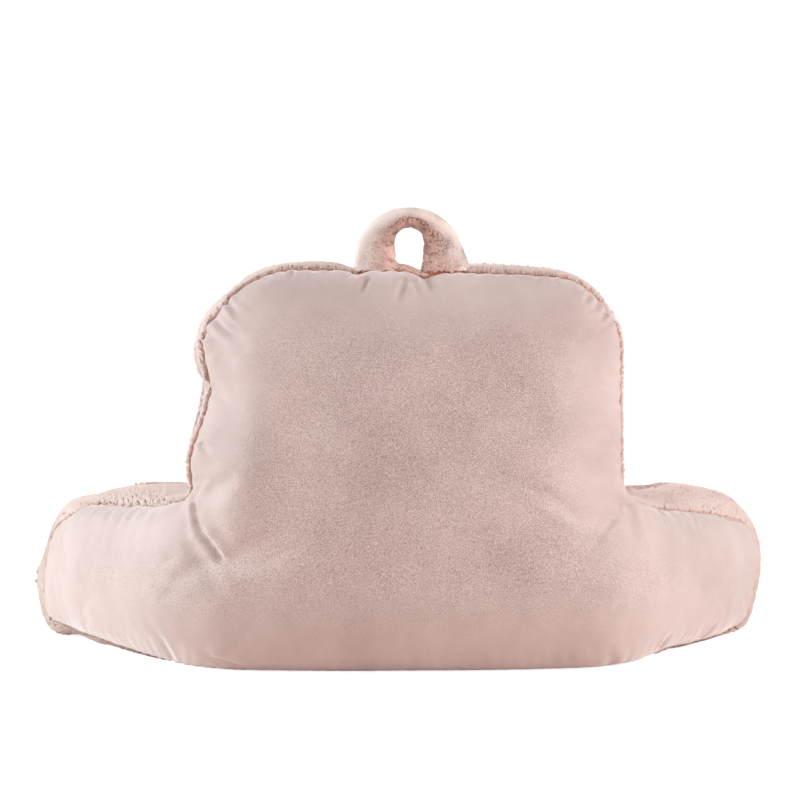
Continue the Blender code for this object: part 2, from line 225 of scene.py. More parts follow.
# folds and creases of the back, each as a run of x and z in mm, from the seam inwards;
# rise above or below the cloth and half width in mm, and how much of each end fades out
folds = [
    {"run": [(-230, 178), (-228, 164), (-225, 150), (-218, 139), (-207, 127), (-193, 108)],
     "rise": -4.6, "wide": 3.3, "fade": (0.10, 0.25)},
    {"run": [(-221, 168), (-217, 152), (-209, 140), (-198, 126), (-186, 109)],
     "rise": 2.4, "wide": 5.5, "fade": (0.20, 0.35)},
    {"run": [(-236, 150), (-228, 137), (-218, 127), (-206, 113), (-196, 103)],
     "rise": 1.6, "wide": 5.0, "fade": (0.35, 0.45)},
    {"run": [(-240, 142), (-230, 126), (-216, 111), (-200, 98)],
     "rise": -1.4, "wide": 7.0, "fade": (0.35, 0.50)},
    {"run": [(-206, 107), (-192, 94), (-178, 84)], "rise": 1.8, "wide": 6.5, "fade": (0.40, 0.50)},
    {"run": [(-321, 150), (-328, 130), (-335, 113)], "rise": -0.9, "wide": 4.5, "fade": (0.05, 0.80)},
    {"run": [(-307, 151), (-316, 131), (-323, 112)], "rise": -1.1, "wide": 4.5, "fade": (0.05, 0.80)},
    {"run": [(-294, 154), (-303, 134), (-310, 114)], "rise": -1.0, "wide": 4.5, "fade": (0.05, 0.80)},
    {"run": [(-281, 155), (-290, 136), (-296, 119)], "rise": -1.1, "wide": 4.5, "fade": (0.05, 0.80)},
    {"run": [(-267, 159), (-274, 142), (-279, 127)], "rise": -0.8, "wide": 5.0, "fade": (0.05, 0.80)},
    {"run": [(-252, 5), (-259, 19), (-266, 31), (-275, 42), (-282, 56), (-288, 68)],
     "rise": -1.2, "wide": 6.0, "fade": (0.05, 0.75)},
    {"run": [(-223, 17), (-206, 13), (-175, 6)], "rise": -2.4, "wide": 3.5, "fade": (0.40, 0.40)},
    {"run": [(-199, 374), (-192, 365), (-183, 356)], "rise": 2.6, "wide": 3.2, "fade": (0.05, 0.60)},
    {"run": [(-208, 362), (-201, 354), (-193, 346)], "rise": -2.4, "wide": 4.0, "fade": (0.05, 0.60)},
    {"run": [(-196, 377), (-186, 372)], "rise": -3.5, "wide": 2.8, "fade": (0.02, 0.70)},
    {"run": [(-217, 345), (-207, 340), (-192, 330)], "rise": -2.8, "wide": 4.0, "fade": (0.02, 0.85)},
    {"run": [(-217, 323), (-207, 320)], "rise": -1.8, "wide": 3.6, "fade": (0.02, 0.85)},
    {"run": [(-213, 287), (-202, 283), (-187, 272)], "rise": -3.0, "wide": 4.2, "fade": (0.02, 0.85)},
    {"run": [(-127, 410), (-126, 395)], "rise": -1.6, "wide": 2.4, "fade": (0.02, 0.80)},
    {"run": [(-48, 403), (-53, 393), (-58, 382)], "rise": -3.4, "wide": 3.0, "fade": (0.02, 0.70)},
    {"run": [(-62, 403), (-67, 380)], "rise": 1.6, "wide": 4.0, "fade": (0.02, 0.80)},
    {"run": [(-8, 402), (-17, 381), (-21, 362)], "rise": -3.2, "wide": 4.5, "fade": (0.02, 0.70)},
    {"run": [(-1, 401), (4, 379)], "rise": -2.6, "wide": 3.4, "fade": (0.02, 0.80)},
    {"run": [(13, 401), (19, 382)], "rise": -2.2, "wide": 3.6, "fade": (0.02, 0.80)},
    {"run": [(150, 399), (146, 388)], "rise": -1.4, "wide": 2.6, "fade": (0.02, 0.80)},
    {"run": [(184, 385), (176, 374)], "rise": -3.0, "wide": 2.4, "fade": (0.02, 0.80)},
    {"run": [(195, 377), (185, 366)], "rise": -3.4, "wide": 2.4, "fade": (0.02, 0.80)},
    {"run": [(204, 367), (193, 357)], "rise": -4.2, "wide": 2.6, "fade": (0.02, 0.80)},
    {"run": [(209, 359), (198, 350)], "rise": -2.6, "wide": 2.4, "fade": (0.02, 0.80)},
    {"run": [(214, 171), (211, 164), (202, 152), (190, 141), (180, 130), (172, 122)],
     "rise": -2.4, "wide": 2.8, "fade": (0.10, 0.35)},
    {"run": [(221, 168), (224, 150), (225, 132), (224, 118)],
     "rise": -2.4, "wide": 8.0, "fade": (0.05, 0.70)},
    {"run": [(237, 165), (243, 142)], "rise": -1.4, "wide": 4.0, "fade": (0.05, 0.80)},
    {"run": [(260, 158), (270, 145)], "rise": -2.4, "wide": 3.0, "fade": (0.02, 0.80)},
    {"run": [(294, 148), (302, 126)], "rise": -1.1, "wide": 3.0, "fade": (0.05, 0.80)},
    {"run": [(309, 145), (313, 111)], "rise": -1.1, "wide": 3.0, "fade": (0.05, 0.80)},
    {"run": [(318, 8), (330, 17), (342, 27)], "rise": -3.2, "wide": 3.4, "fade": (0.05, 0.60)},
    {"run": [(260, 11), (266, 19), (275, 30)], "rise": -2.4, "wide": 4.5, "fade": (0.05, 0.70)},
    {"run": [(212, 4), (200, 33)], "rise": 1.2, "wide": 6.0, "fade": (0.05, 0.80)},
    {"run": [(203, 4), (190, 35)], "rise": -1.0, "wide": 6.0, "fade": (0.05, 0.80)},
    {"run": [(-222, 232), (-208, 222)], "rise": -2.2, "wide": 4.0, "fade": (0.02, 0.80)},
]
# where the filling bulges, broad and low
swells = [
    {"run": [(-180, 372), (-172, 330), (-168, 298), (-163, 262), (-172, 217), (-187, 177), (-195, 137),
             (-199, 101)], "rise": 4.2, "wide": 26.0, "fade": (0.25, 0.30)},
    {"run": [(140, 348), (140, 297), (139, 257), (135, 217), (147, 166), (165, 115)],
     "rise": 2.6, "wide": 24.0, "fade": (0.25, 0.35)},
    {"run": [(-112, 330), (-116, 290), (-110, 240), (-95, 190), (-98, 130)],
     "rise": -2.2, "wide": 26.0, "fade": (0.30, 0.40)},
]
# the seam is drawn in at single stitches: place, depth and half width in mm, and direction
notches = [
    {"at": (-217, 331), "deep": -6.0, "wide": 34.0, "toward": (1.0, 0.0)},
    {"at": (-216, 345), "deep": 6.0, "wide": 4.5, "toward": (1.0, -0.1)},
    {"at": (-218, 323), "deep": 4.0, "wide": 4.0, "toward": (1.0, 0.0)},
    {"at": (-216, 287), "deep": 8.0, "wide": 6.0, "toward": (1.0, 0.1)},
    {"at": (-198, 374), "deep": 3.0, "wide": 6.0, "toward": (0.8, -0.6)},
    {"at": (182, 384), "deep": 3.0, "wide": 4.0, "toward": (-0.6, -0.8)},
    {"at": (193, 376), "deep": 4.0, "wide": 4.0, "toward": (-0.7, -0.7)},
    {"at": (204, 366), "deep": 5.0, "wide": 4.0, "toward": (-0.8, -0.6)},
    {"at": (210, 357), "deep": 3.0, "wide": 4.0, "toward": (-0.9, -0.4)},
    {"at": (-55, 404), "deep": 4.0, "wide": 7.0, "toward": (0.0, -1.0)},
    {"at": (-228, 205), "deep": -5.0, "wide": 45.0, "toward": (1.0, 0.0)},
    {"at": (-193, 386), "deep": -3.5, "wide": 16.0, "toward": (0.7, -0.7)},
    {"at": (266, 6), "deep": 4.5, "wide": 26.0, "toward": (0.0, 1.0)},
]


def outerSkin(piece, bodyTree):
    # drop the sheet's inner side and its edge, which lie next to the filling
    points = pointsOf(piece)
    gaps = np.array([bodyTree.find_nearest(Vector(point))[3] for point in points])
    kept = [tuple(face.vertices) for face in piece.data.polygons
            if min(gaps[list(face.vertices)]) > panelLook["skinOver"]]
    used = sorted({index for face in kept for index in face})
    place = {index: new for new, index in enumerate(used)}
    faces = [[place[index] for index in face] for face in kept]
    skin = newPiece(piece.name + "Skin", [points[index] for index in used], faces)
    bpy.data.objects.remove(piece)
    return skin


def gatherAt(points, look):
    # how much the cloth is drawn up along its seam, from place to place
    vary, size = look["gatherVary"]
    share = look["leastGather"] + vary * noiseAt(points, size)
    for x, z, reach, most in look["gathers"]:
        away = np.hypot(points[:, 0] - x * mm, points[:, 2] - z * mm)
        share = np.maximum(share, most * np.exp(-(away / (reach * mm)) ** 2))
    return np.clip(share, 0, 1)


def foldRun(tree, run, step=2 * mm):
    # the fold's points laid on the cloth
    corners = np.array(run) * mm
    lengths = np.concatenate([[0], np.cumsum(np.hypot(*np.diff(corners, axis=0).T))])
    marks = np.linspace(0, lengths[-1], max(3, int(lengths[-1] / step)))
    flat = np.stack([np.interp(marks, lengths, corners[:, axis]) for axis in (0, 1)], axis=1)
    for _ in range(3):
        flat[1:-1] = (flat[:-2] + 2 * flat[1:-1] + flat[2:]) / 4
    spots = [tree.ray_cast(Vector((x, -1, z)), Vector((0, 1, 0)))[0] for x, z in flat]
    kept = [index for index, spot in enumerate(spots) if spot]
    return np.array([spots[index] for index in kept]), marks[kept] / lengths[-1]


# a crease has a low swell on both sides, so far from its middle; all in half widths
foldShape = {"reach": 5, "swell": 0.28, "swellAt": 2.3, "swellWide": 0.9}


def pressFolds(piece, folds):
    points = pointsOf(piece)
    normals = normalsOf(piece)
    tree = treeOf(piece)
    moved = np.zeros(len(points))
    for fold in folds:
        spots, along = foldRun(tree, fold["run"])
        wide = fold["wide"] * mm
        reach = foldShape["reach"] * wide
        near = np.flatnonzero(np.all((points > spots.min(axis=0) - reach)
                                     & (points < spots.max(axis=0) + reach), axis=1))
        gaps = np.linalg.norm(points[near][:, None] - spots[None], axis=2)
        nearest = gaps.argmin(axis=1)
        across = gaps[np.arange(len(near)), nearest] / wide
        head, tail = fold["fade"]
        strength = softStep(along[nearest], -0.001, head) * (1 - softStep(along[nearest], 1 - tail, 1))
        beside = np.exp(-((across - foldShape["swellAt"]) / foldShape["swellWide"]) ** 2)
        shape = np.exp(-across ** 2) - foldShape["swell"] * beside
        moved[near] += fold["rise"] * mm * strength * shape
    movePoints(piece, points + normals * moved[:, None])
    return points, moved


notchFade = 10                     # a notch dies out this far from the seam, mm, and half its width
slumpFade = (1 * mm, 10 * mm)      # where behind the seam the strip starts to give, and gives fully
armEndsAt = {"right": (0.345, 0.400), "left": (0.340, 0.395)}   # from the middle, m
floorAt = {"right": (0.22, 0.29), "left": (0.24, 0.34),         # from the middle, m
           "up": (3 * mm, 30 * mm), "least": 0.8 * mm}


def drawnIn(points, away, notches):
    # how far the notches move each point, less and less away from the seam
    flat = points[:, [0, 2]]
    moved = np.zeros((len(points), 2))
    for notch in notches:
        gap = np.hypot(*(flat - np.array(notch["at"]) * mm).T)
        fade = (notchFade + 0.5 * notch["wide"]) * mm
        share = np.exp(-(gap / (notch["wide"] * mm)) ** 2) * (1 - softStep(away, 0, fade))
        moved += share[:, None] * np.array(notch["toward"]) * notch["deep"] * mm
    return moved


def slumped(points, away, slumps):
    # the plush strip alone lies lower, or fuller, behind the seam
    moved = np.zeros((len(points), 2))
    for slump in slumps:
        gap = np.hypot(*(points[:, [0, 2]] - np.array(slump["at"]) * mm).T)
        share = np.exp(-(gap / (slump["wide"] * mm)) ** 2) * softStep(away, *slumpFade)
        moved += share[:, None] * np.array(slump["toward"]) * slump["deep"] * mm
    return moved


def armEnds(points, left, right):
    # move the ends of the arms outwards, in mm; the rest stays
    across = points[:, 0]
    onRight = softStep(across, *armEndsAt["right"])
    onLeft = softStep(-across, *armEndsAt["left"])
    return (right * onRight - left * onLeft) * mm


def toFloor(points, drop):
    # under the back the seam is pressed down by the weight, and turns up towards the arm ends
    onRight = softStep(points[:, 0], *floorAt["right"])
    onLeft = softStep(-points[:, 0], *floorAt["left"])
    share = (1 - onRight - onLeft) * (1 - softStep(points[:, 2], *floorAt["up"]))
    return np.minimum(share * drop, np.maximum(points[:, 2] - floorAt["least"], 0))


def doubleSkin(piece, coarse, thick):
    # give the fine outer skin a coarser inner one, joined along the rim
    points = pointsOf(piece)
    normals = normalsOf(piece)
    outer = [tuple(face.vertices) for face in piece.data.polygons]
    count = len(points)
    used = 1 + max(max(face) for face in coarse)
    inner = points[:used] - normals[:used] * thick
    shape = bmesh.new()
    shape.from_mesh(piece.data)
    strip = []
    for edge in shape.edges:
        if edge.is_boundary:
            loop = edge.link_loops[0]
            strip.append((loop.vert.index, loop.link_loop_next.vert.index))
    shape.free()
    following = dict(strip)
    ring = []
    for first, second in strip:
        if first < used:
            last = following[second]
            ring += [(second, first, count + first), (second, count + first, count + last),
                     (second, count + last, last)]
    faces = outer + [tuple(count + index for index in reversed(face)) for face in coarse] + ring
    doubled = newPiece("backPanel", np.concatenate([points, inner]), faces)   # one closed sheet
    bpy.data.objects.remove(piece)
    return doubled


cadBody = mergedCopy("cushion_body", "cadBody")
cadBodyTree = treeOf(cadBody)
backSkin = outerSkin(mergedCopy("back_panel", "back"), cadBodyTree)
smoother(backSkin, 2)
panelRim = rimOf(backSkin)
points = pointsOf(backSkin)
normals = normalsOf(backSkin)
for index in panelRim:
    nearest = np.array(cadBodyTree.find_nearest(Vector(points[index]))[0])
    inward = nearest - points[index]
    inward /= np.linalg.norm(inward)
    points[index] = nearest + inward * panelLook["groove"]
points[:, 0] += armEnds(points, *panelLook["ends"])
points[:, 2] -= toFloor(points, panelLook["toFloor"])
away = fromRim(points, panelRim)
gather = gatherAt(points, panelLook)
lift = noiseAt(points, panelLook["seedSize"]) * panelLook["seedBumps"] * (panelLook["leastSeed"] + gather)
lift *= 1 - softStep(away, 0, 2 * panelLook["easeBand"])
lift[panelRim] = 0
points += normals * lift[:, None]
movePoints(backSkin, points)
eased = gather * (1 - softStep(away, 0, panelLook["easeBand"]))
blowUp(backSkin, panelRim, eased, panelLook["air"])
coarseFaces = [tuple(face.vertices) for face in backSkin.data.polygons]
smoother(backSkin, 1)
points = pointsOf(backSkin)
away = fromRim(points, rimOf(backSkin))
lift = noiseAt(points, panelLook["lumpSize"]) * panelLook["lumps"]
lift += noiseAt(points + panelLook["wrinkleShift"], panelLook["wrinkleSize"]) * panelLook["wrinkles"]
points += normalsOf(backSkin) * (lift * softStep(away, 0, panelLook["lumpsFrom"]))[:, None]
movePoints(backSkin, points)
pressFolds(backSkin, swells)
points = pointsOf(backSkin)
points[:, [0, 2]] += drawnIn(points, fromRim(points, rimOf(backSkin)), notches)
movePoints(backSkin, points)
unpressed, pressed = pressFolds(backSkin, folds)
points = pointsOf(backSkin)
points[:, 2] = np.maximum(points[:, 2], panelLook["overFloor"][1])
movePoints(backSkin, points)
panelTree = treeOf(backSkin)
backPanel = doubleSkin(backSkin, coarseFaces, panelLook["thick"])
points = pointsOf(backPanel)
field = backPanel.data.attributes.new("field", 'FLOAT', 'POINT')
away = fromRim(points, panelRim)
field.data.foreach_set("value", softStep(away, *panelLook["grainFrom"]).astype(np.float32))
points[:, 2] = np.maximum(points[:, 2], panelLook["overFloor"][0])
movePoints(backPanel, points)
print("back panel:", len(backPanel.data.polygons), "faces")

# the filled body under it, with the plush front and the plush strip all round
bodyLook = {
    "panelWithin": 0.6 * mm,   # the solid's faces this close to the back panel lie under it
    "pile": 4.6 * mm,          # the plush stands this far proud of its backing
    "pileFrom": 12 * mm,       # and less, this close to the seam
    "seamLap": 0.3 * mm,       # the plush covers the edge of the back's cloth
    "under": 4.2 * mm,         # the filling lies this far below the back's face
    "foldReach": 16 * mm,      # and below the deepest fold this close by
    "stripFrom": 9 * mm,       # from here on the strip has its own shape
    "easeBand": 40 * mm,       # it is gathered this far in from the seam
    "ends": (4.0, 7.5),        # the plush strip bulges past the seam there
    "slumps": [                # place, depth and half width in mm, and direction
        {"at": (-64, 412), "deep": 5.0, "wide": 20.0, "toward": (0.0, -1.0)},
        {"at": (208, 285), "deep": 6.0, "wide": 70.0, "toward": (-1.0, 0.0)},
        {"at": (-222, 262), "deep": 5.5, "wide": 32.0, "toward": (1.0, 0.0)},
        {"at": (276, 167), "deep": 5.0, "wide": 28.0, "toward": (0.0, -1.0)},
        {"at": (393, 130), "deep": 4.0, "wide": 20.0, "toward": (-1.0, 0.0)},
        {"at": (-363, 139), "deep": -6.0, "wide": 24.0, "toward": (0.6, -0.8)},
        {"at": (-405, 50), "deep": -2.5, "wide": 25.0, "toward": (1.0, 0.0)},
    ],
    "air": {"quality": 5, "stretch": 18, "shear": 6, "bend": 0.4, "ease": 0.035,
            "pressure": 1.4, "frames": 18, "cap": 3 * mm},
}
cushion = cadBody
cushion.name = cushion.data.name = "cushion"
cadPanelTree = treeOf(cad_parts["back_panel"])
points = pointsOf(cushion)
gaps = np.array([cadPanelTree.find_nearest(Vector(point))[3] for point in points])
near = gaps < bodyLook["panelWithin"]
rearFaces = [face.index for face in cushion.data.polygons if all(near[list(face.vertices)])]
shape = bmesh.new()
shape.from_mesh(cushion.data)
shape.faces.ensure_lookup_table()
rear = {shape.faces[index] for index in rearFaces}
crease = shape.edges.layers.float.new("crease_edge")
for edge in shape.edges:
    if len([face for face in edge.link_faces if face in rear]) == 1:
        edge[crease] = 1.0
for face in shape.faces:
    face.material_index = 1 if face in rear else 0
shape.to_mesh(cushion.data)
shape.free()
plushBacking = bpy.data.materials.new("plush backing")
cushion.data.materials.append(plushBacking)
cushion.data.materials.append(plushBacking)
smoother(cushion, 1)
isRear = np.zeros(len(cushion.data.vertices), bool)
isFront = np.zeros(len(cushion.data.vertices), bool)
for face in cushion.data.polygons:
    if face.material_index == 1:
        isRear[list(face.vertices)] = True
    else:
        isFront[list(face.vertices)] = True
seamPoints = np.flatnonzero(isRear & isFront)
points = pointsOf(cushion)
normals = normalsOf(cushion)
points[seamPoints] -= normals[seamPoints] * (panelLook["groove"] - bodyLook["seamLap"])
away = fromRim(points, seamPoints)
inset = bodyLook["pile"] * softStep(away, 0, bodyLook["pileFrom"])
inset[isRear] = 0
points -= normals * inset[:, None]
beside = softStep(away, 0, bodyLook["stripFrom"])
beside[isRear] = 0
points[:, 0] += armEnds(points, *panelLook["ends"]) * (1 - beside)
points[:, 0] += armEnds(points, *bodyLook["ends"]) * beside
points[:, 2] -= toFloor(points, panelLook["toFloor"])
points[:, [0, 2]] += drawnIn(points, away, notches)
points[:, [0, 2]] += slumped(points, away, bodyLook["slumps"])
movePoints(cushion, points)
eased = (1 - softStep(away, 0, bodyLook["easeBand"])) * ~isRear
blowUp(cushion, [int(index) for index in seamPoints], eased, bodyLook["air"])
points = pointsOf(cushion)
pressTree = nearTree(unpressed)
for index in np.flatnonzero(isRear & ~isFront):
    spot, normal, _, _ = panelTree.find_nearest(Vector(points[index]))
    # the coarse filling stays clear of the deepest fold near each point
    near = [found[1] for found in pressTree.find_range(Vector(points[index]), bodyLook["foldReach"])]
    deepest = -min(0, pressed[near].min()) if near else 0
    points[index] = spot - normal * (bodyLook["under"] + deepest)
points[:, 2] = np.maximum(points[:, 2], 0)
movePoints(cushion, points)
print("cushion:", len(cushion.data.polygons), "faces")

# the carrying loop
loopLook = {
    "footBelow": 0.4185, "sunk": 9 * mm,   # its feet go down into the filling
    "pile": 3.7 * mm,
    "curlPile": 5.6 * mm,      # the curls inside the loop lie deeper
    "gapUp": 0.43,             # the middle of the gap
    "gapFacing": 0.3,          # what faces it more than this bears curls
    "squareTop": 2.6 * mm,     # the gap is flat and wide at its top
    "cornersFrom": (0.430, 0.440), "cornersTo": (0.452, 0.462), "cornersWide": 4 * mm,
    "cornersFacing": (0, 0.5),
    "flare": 4.5 * mm,         # its right foot spreads where it is sewn in
    "flareFrom": (0.015, 0.045), "flareTo": (0.412, 0.436),
    "toSeam": 6 * mm,          # and its feet stand close behind the back's cloth
    "toSeamTo": (0.412, 0.44),
}
carryLoop = mergedCopy("handle", "carryLoop")
points = pointsOf(carryLoop)
normals = normalsOf(carryLoop)
foot = points[:, 2] < loopLook["footBelow"]
loopLow, loopHigh = (np.array(corner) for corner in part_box("handle"))
fingerGap = np.array([*(loopLow + loopHigh)[:2] / 2, loopLook["gapUp"]])
towardGap = (unit(fingerGap - points) * normals).sum(axis=1)
depth = np.where(towardGap > loopLook["gapFacing"], loopLook["curlPile"], loopLook["pile"])
points -= normals * (depth * ~foot)[:, None]
points[foot, 2] -= loopLook["sunk"]
corner = softStep(points[:, 2], *loopLook["cornersFrom"])
corner *= 1 - softStep(points[:, 2], *loopLook["cornersTo"])
corner *= softStep(towardGap, *loopLook["cornersFacing"])
outward = np.tanh((points[:, 0] - fingerGap[0]) / loopLook["cornersWide"])
points[:, 0] += outward * corner * loopLook["squareTop"]
spread = softStep(points[:, 0], *loopLook["flareFrom"]) * (1 - softStep(points[:, 2], *loopLook["flareTo"]))
points[:, 0] += spread * loopLook["flare"]
points[:, 1] -= loopLook["toSeam"] * (1 - softStep(points[:, 2], *loopLook["toSeamTo"]))
movePoints(carryLoop, points)
smoother(carryLoop, 2)
print("carrying loop:", len(carryLoop.data.polygons), "faces")

# pile: locks of fibre, thin at both ends, joined to one mesh for each place
lockFaces = [(0, 2, 1), (0, 3, 2), (0, 1, 3), (1, 2, 4), (2, 3, 4), (3, 1, 4)]
lockLook = {
    "lower": 0.55, "upper": 0.45,   # shares of its length below and above its thickest place
    "corners": (0, 2 * pi / 3, 4 * pi / 3),
    "rootLean": 0.5, "tipRise": 0.5,   # it stands more at its root and lies more at its tip
    "rooted": mm,                   # how far it goes into the backing
    "shortest": 0.5, "longest": 1.4, "thinnest": 0.85, "thicker": 0.3,
    "overFloor": 0.2 * mm,
}


def evenNormals(host, rounds=4):
    # the pile follows the broad shape of its backing, not every small crease
    ends = np.array([tuple(edge.vertices) for edge in host.data.edges])
    normals = normalsOf(host)
    for _ in range(rounds):
        total = normals.copy()
        np.add.at(total, ends[:, 0], normals[ends[:, 1]])
        np.add.at(total, ends[:, 1], normals[ends[:, 0]])
        normals = unit(total)
    return normals


def scatter(host, count, where, random):
    # roots spread evenly over the plush faces of the host, with the host's normal there
    mesh = host.data
    mesh.calc_loop_triangles()
    corners = np.array([tuple(face.vertices) for face in mesh.loop_triangles if face.material_index == 0])
    points = pointsOf(host)
    normals = evenNormals(host)
    a, b, c = (points[corners[:, side]] for side in range(3))
    area = np.linalg.norm(np.cross(b - a, c - a), axis=1) / 2
    weight = area * where((a + b + c) / 3, normals[corners].mean(axis=1))
    total = np.cumsum(weight)
    picks = np.searchsorted(total, (np.arange(count) + random.random(count)) / count * total[-1])
    picks = np.minimum(picks, len(corners) - 1)
    u, v = random.random((2, count, 1))
    u, v = np.where(u + v > 1, 1 - u, u), np.where(u + v > 1, 1 - v, v)
    root = a[picks] + u * (b[picks] - a[picks]) + v * (c[picks] - a[picks])
    n = normals[corners[picks]]
    up = n[:, 0] * (1 - u - v) + n[:, 1] * u + n[:, 2] * v
    return root, unit(up)


def strokes(root, up, look, random):
    # locks lean the way the cloth was stroked, which changes from place to place
    stroke = np.array([noise.noise_vector(Vector(point) / look["strokeSize"]) for point in root])
    stroke = stroke * look["strokeWander"] + np.array(look["stroke"])
    stroke += random.normal(size=root.shape) * look["mess"]
    # and are drawn together in clumps
    middles = root[random.choice(len(root), max(1, len(root) // look["clumpOf"]), replace=False)]
    tree = nearTree(middles)
    clump = np.array([tree.find(point)[1] for point in root])
    stroke += (middles[clump] - root) / look["length"] * look["clumping"]
    stroke -= up * (stroke * up).sum(axis=1)[:, None]
    return stroke, clump, len(middles)


def growPile(name, host, look, where, seed):
    random = np.random.default_rng(seed)
    count = look["count"]
    root, up = scatter(host, count, where, random)
    stroke, clump, clumps = strokes(root, up, look, random)
    length = look["length"] * (1 + look["uneven"] * random.normal(size=(count, 1)))
    length = np.clip(length, lockLook["shortest"] * look["length"], lockLook["longest"] * look["length"])
    first = unit(up * look["rise"] + stroke * lockLook["rootLean"])
    second = unit(up * look["rise"] * lockLook["tipRise"] + stroke)
    mid = root + first * length * lockLook["lower"]
    tip = mid + second * length * lockLook["upper"]
    side = unit(np.cross(first, stroke + up * 0.3 + 0.01))   # across the lock, and never of no length
    other = np.cross(first, side)
    width = look["width"] * (lockLook["thinnest"] + lockLook["thicker"] * random.random((count, 1)))
    rays = [side * np.cos(angle) + other * np.sin(angle) for angle in lockLook["corners"]]
    ring = [mid + ray * width / 2 for ray in rays]
    verts = np.stack([root - first * lockLook["rooted"]] + ring + [tip], axis=1).reshape(-1, 3)
    verts[:, 2] = np.maximum(verts[:, 2], lockLook["overFloor"])
    faces = (np.arange(count)[:, None, None] * 5 + np.array(lockFaces)[None]).reshape(-1, 3)
    pile = newPiece(name, verts, faces.tolist())
    pile.data.shade_smooth()
    # thin fibres scatter light as one soft surface, so they share the host's normal in part
    soft = look["soft"]
    facing = [unit(up * soft + own * (1 - soft)) for own in [up] + rays + [second]]
    pile.data.normals_split_custom_set_from_vertices(np.stack(facing, axis=1).reshape(-1, 3).tolist())
    # half of its shade is the lock's own, half its clump's
    shades = 0.5 * random.random(count) + 0.5 * random.random(clumps)[clump]
    # along runs from root to tip and carries the pile's painted shade and painted light
    heights = [0] + 3 * [lockLook["lower"]] + [1.0]
    columns = {"along": np.tile(heights, count), "shade": np.repeat(shades, 5)}
    for label, values in columns.items():
        column = pile.data.attributes.new(label, 'FLOAT', 'POINT')
        column.data.foreach_set("value", values.astype(np.float32))
    print(name, count, "locks,", len(faces), "triangles")
    return pile


edgePile = {
    "count": 32500, "length": 6.4 * mm, "width": 2.0 * mm, "rise": 0.55, "stroke": (0, 0.5, 0.25),
    "strokeSize": 60 * mm, "strokeWander": 0.3, "mess": 0.05, "clumpOf": 9, "clumping": 0.02,
    "uneven": 0.04, "soft": 0.96, "colour": "light",
}
# the seam pile is a darker orange-pink run of short locks: painted shade in the seam's groove
seamShadePile = {
    "count": 7000, "length": 2.6 * mm, "width": 0.8 * mm, "rise": 1.2, "stroke": (0, 0, 0.1),
    "strokeSize": 6 * mm, "strokeWander": 0.8, "mess": 0.3, "clumpOf": 8, "clumping": 0.4,
    "uneven": 0.2, "soft": 0.5, "colour": "seam",
}
frontPile = {
    "count": 29200, "length": 7.5 * mm, "width": 2.3 * mm, "rise": 0.9, "stroke": (0, 0, 0.1),
    "strokeSize": 70 * mm, "strokeWander": 0.5, "mess": 0.14, "clumpOf": 8, "clumping": 0.15,
    "uneven": 0.08, "soft": 0.96, "colour": "light",
}
loopPile = {
    "count": 15500, "length": 4.6 * mm, "width": 1.2 * mm, "rise": 0.85, "stroke": (0, 0, 0.15),
    "strokeSize": 14 * mm, "strokeWander": 0.25, "mess": 0.06, "clumpOf": 10, "clumping": 0.04,
    "uneven": 0.05, "soft": 0.95, "colour": "rim",
}
curlPile = {
    "count": 13000, "length": 5.4 * mm, "width": 1.1 * mm, "rise": 1.0, "stroke": (0, 0, 0.1),
    "strokeSize": 7 * mm, "strokeWander": 0.9, "mess": 0.16, "clumpOf": 14, "clumping": 0.8,
    "uneven": 0.12, "soft": 0.94, "colour": "curls",
}
# the few curls between the loop's feet
betweenPile = {**curlPile, "count": 900, "length": 4.6 * mm}

# where each pile grows, in the frame's metres
places = {
    "under": 1.5 * mm, "underFacing": -0.7,     # the face it stands on stays bare
    "rearUp": 5 * mm, "rearWide": 0.26,         # and the edge under the back
    "smoothWide": (20 * mm, 34 * mm),           # the pile beside the seam lies smooth
    "topWide": 46, "topFacing": (0.2, 0.5),     # so many mm wider on the tops
    "seamUp": 8 * mm, "seamWide": 2.8 * mm,
    "feetUp": 0.395, "feetBack": -0.088, "feetMiddle": -0.0035, "feetWide": 0.058,
    "betweenUp": 0.4, "betweenWide": 0.02,
    "loopUp": 0.408, "loopInward": (1, 0.35, 1), "loopFacing": (-0.35, 0.25),
}
seamTree = nearTree(pointsOf(cushion)[seamPoints])


def seamDistance(spots):
    return np.array([seamTree.find(spot)[2] for spot in spots])


def onPlush(spots, facing):
    under = (spots[:, 2] < places["under"]) & (facing[:, 2] < places["underFacing"])
    rear = (spots[:, 2] < places["rearUp"]) & (spots[:, 1] < 0) & (np.abs(spots[:, 0]) < places["rearWide"])
    return ~under & ~rear


def brushed(spots, facing):
    # the strip beside the seam and the tops, where the pile lies smooth
    reach = places["topWide"] * softStep(facing[:, 2], *places["topFacing"]) * mm
    return 1 - softStep(seamDistance(spots) - reach, *places["smoothWide"])


def atFeet(spots, wide=places["feetWide"]):
    # where the loop's feet come out of the seam, and between them
    behind = (spots[:, 2] > places["feetUp"]) & (spots[:, 1] < places["feetBack"])
    return behind & (np.abs(spots[:, 0] - places["feetMiddle"]) < wide)


def nearSeam(spots, facing):
    return onPlush(spots, facing) * brushed(spots, facing) * ~atFeet(spots)


def betweenFeet(spots, facing):
    return atFeet(spots, places["betweenWide"]) & (spots[:, 2] > places["betweenUp"])


# where the painted shade of the seam's groove grows
def seamShadeBand(spots, facing):
    near = seamDistance(spots) < places["seamWide"]
    return onPlush(spots, facing) & near & (spots[:, 2] > places["seamUp"])


def frontSide(spots, facing):
    return onPlush(spots, facing) * (1 - brushed(spots, facing))


def frontLeft(spots, facing):
    return frontSide(spots, facing) * (spots[:, 0] < 0)


def frontRight(spots, facing):
    return frontSide(spots, facing) * (spots[:, 0] >= 0)


def insideLoop(spots, facing):
    inward = unit((fingerGap - spots) * places["loopInward"])
    share = softStep((facing * inward).sum(axis=1), *places["loopFacing"])
    return share * (spots[:, 2] > places["loopUp"])


def outsideLoop(spots, facing):
    return (1 - insideLoop(spots, facing)) * (spots[:, 2] > places["loopUp"])


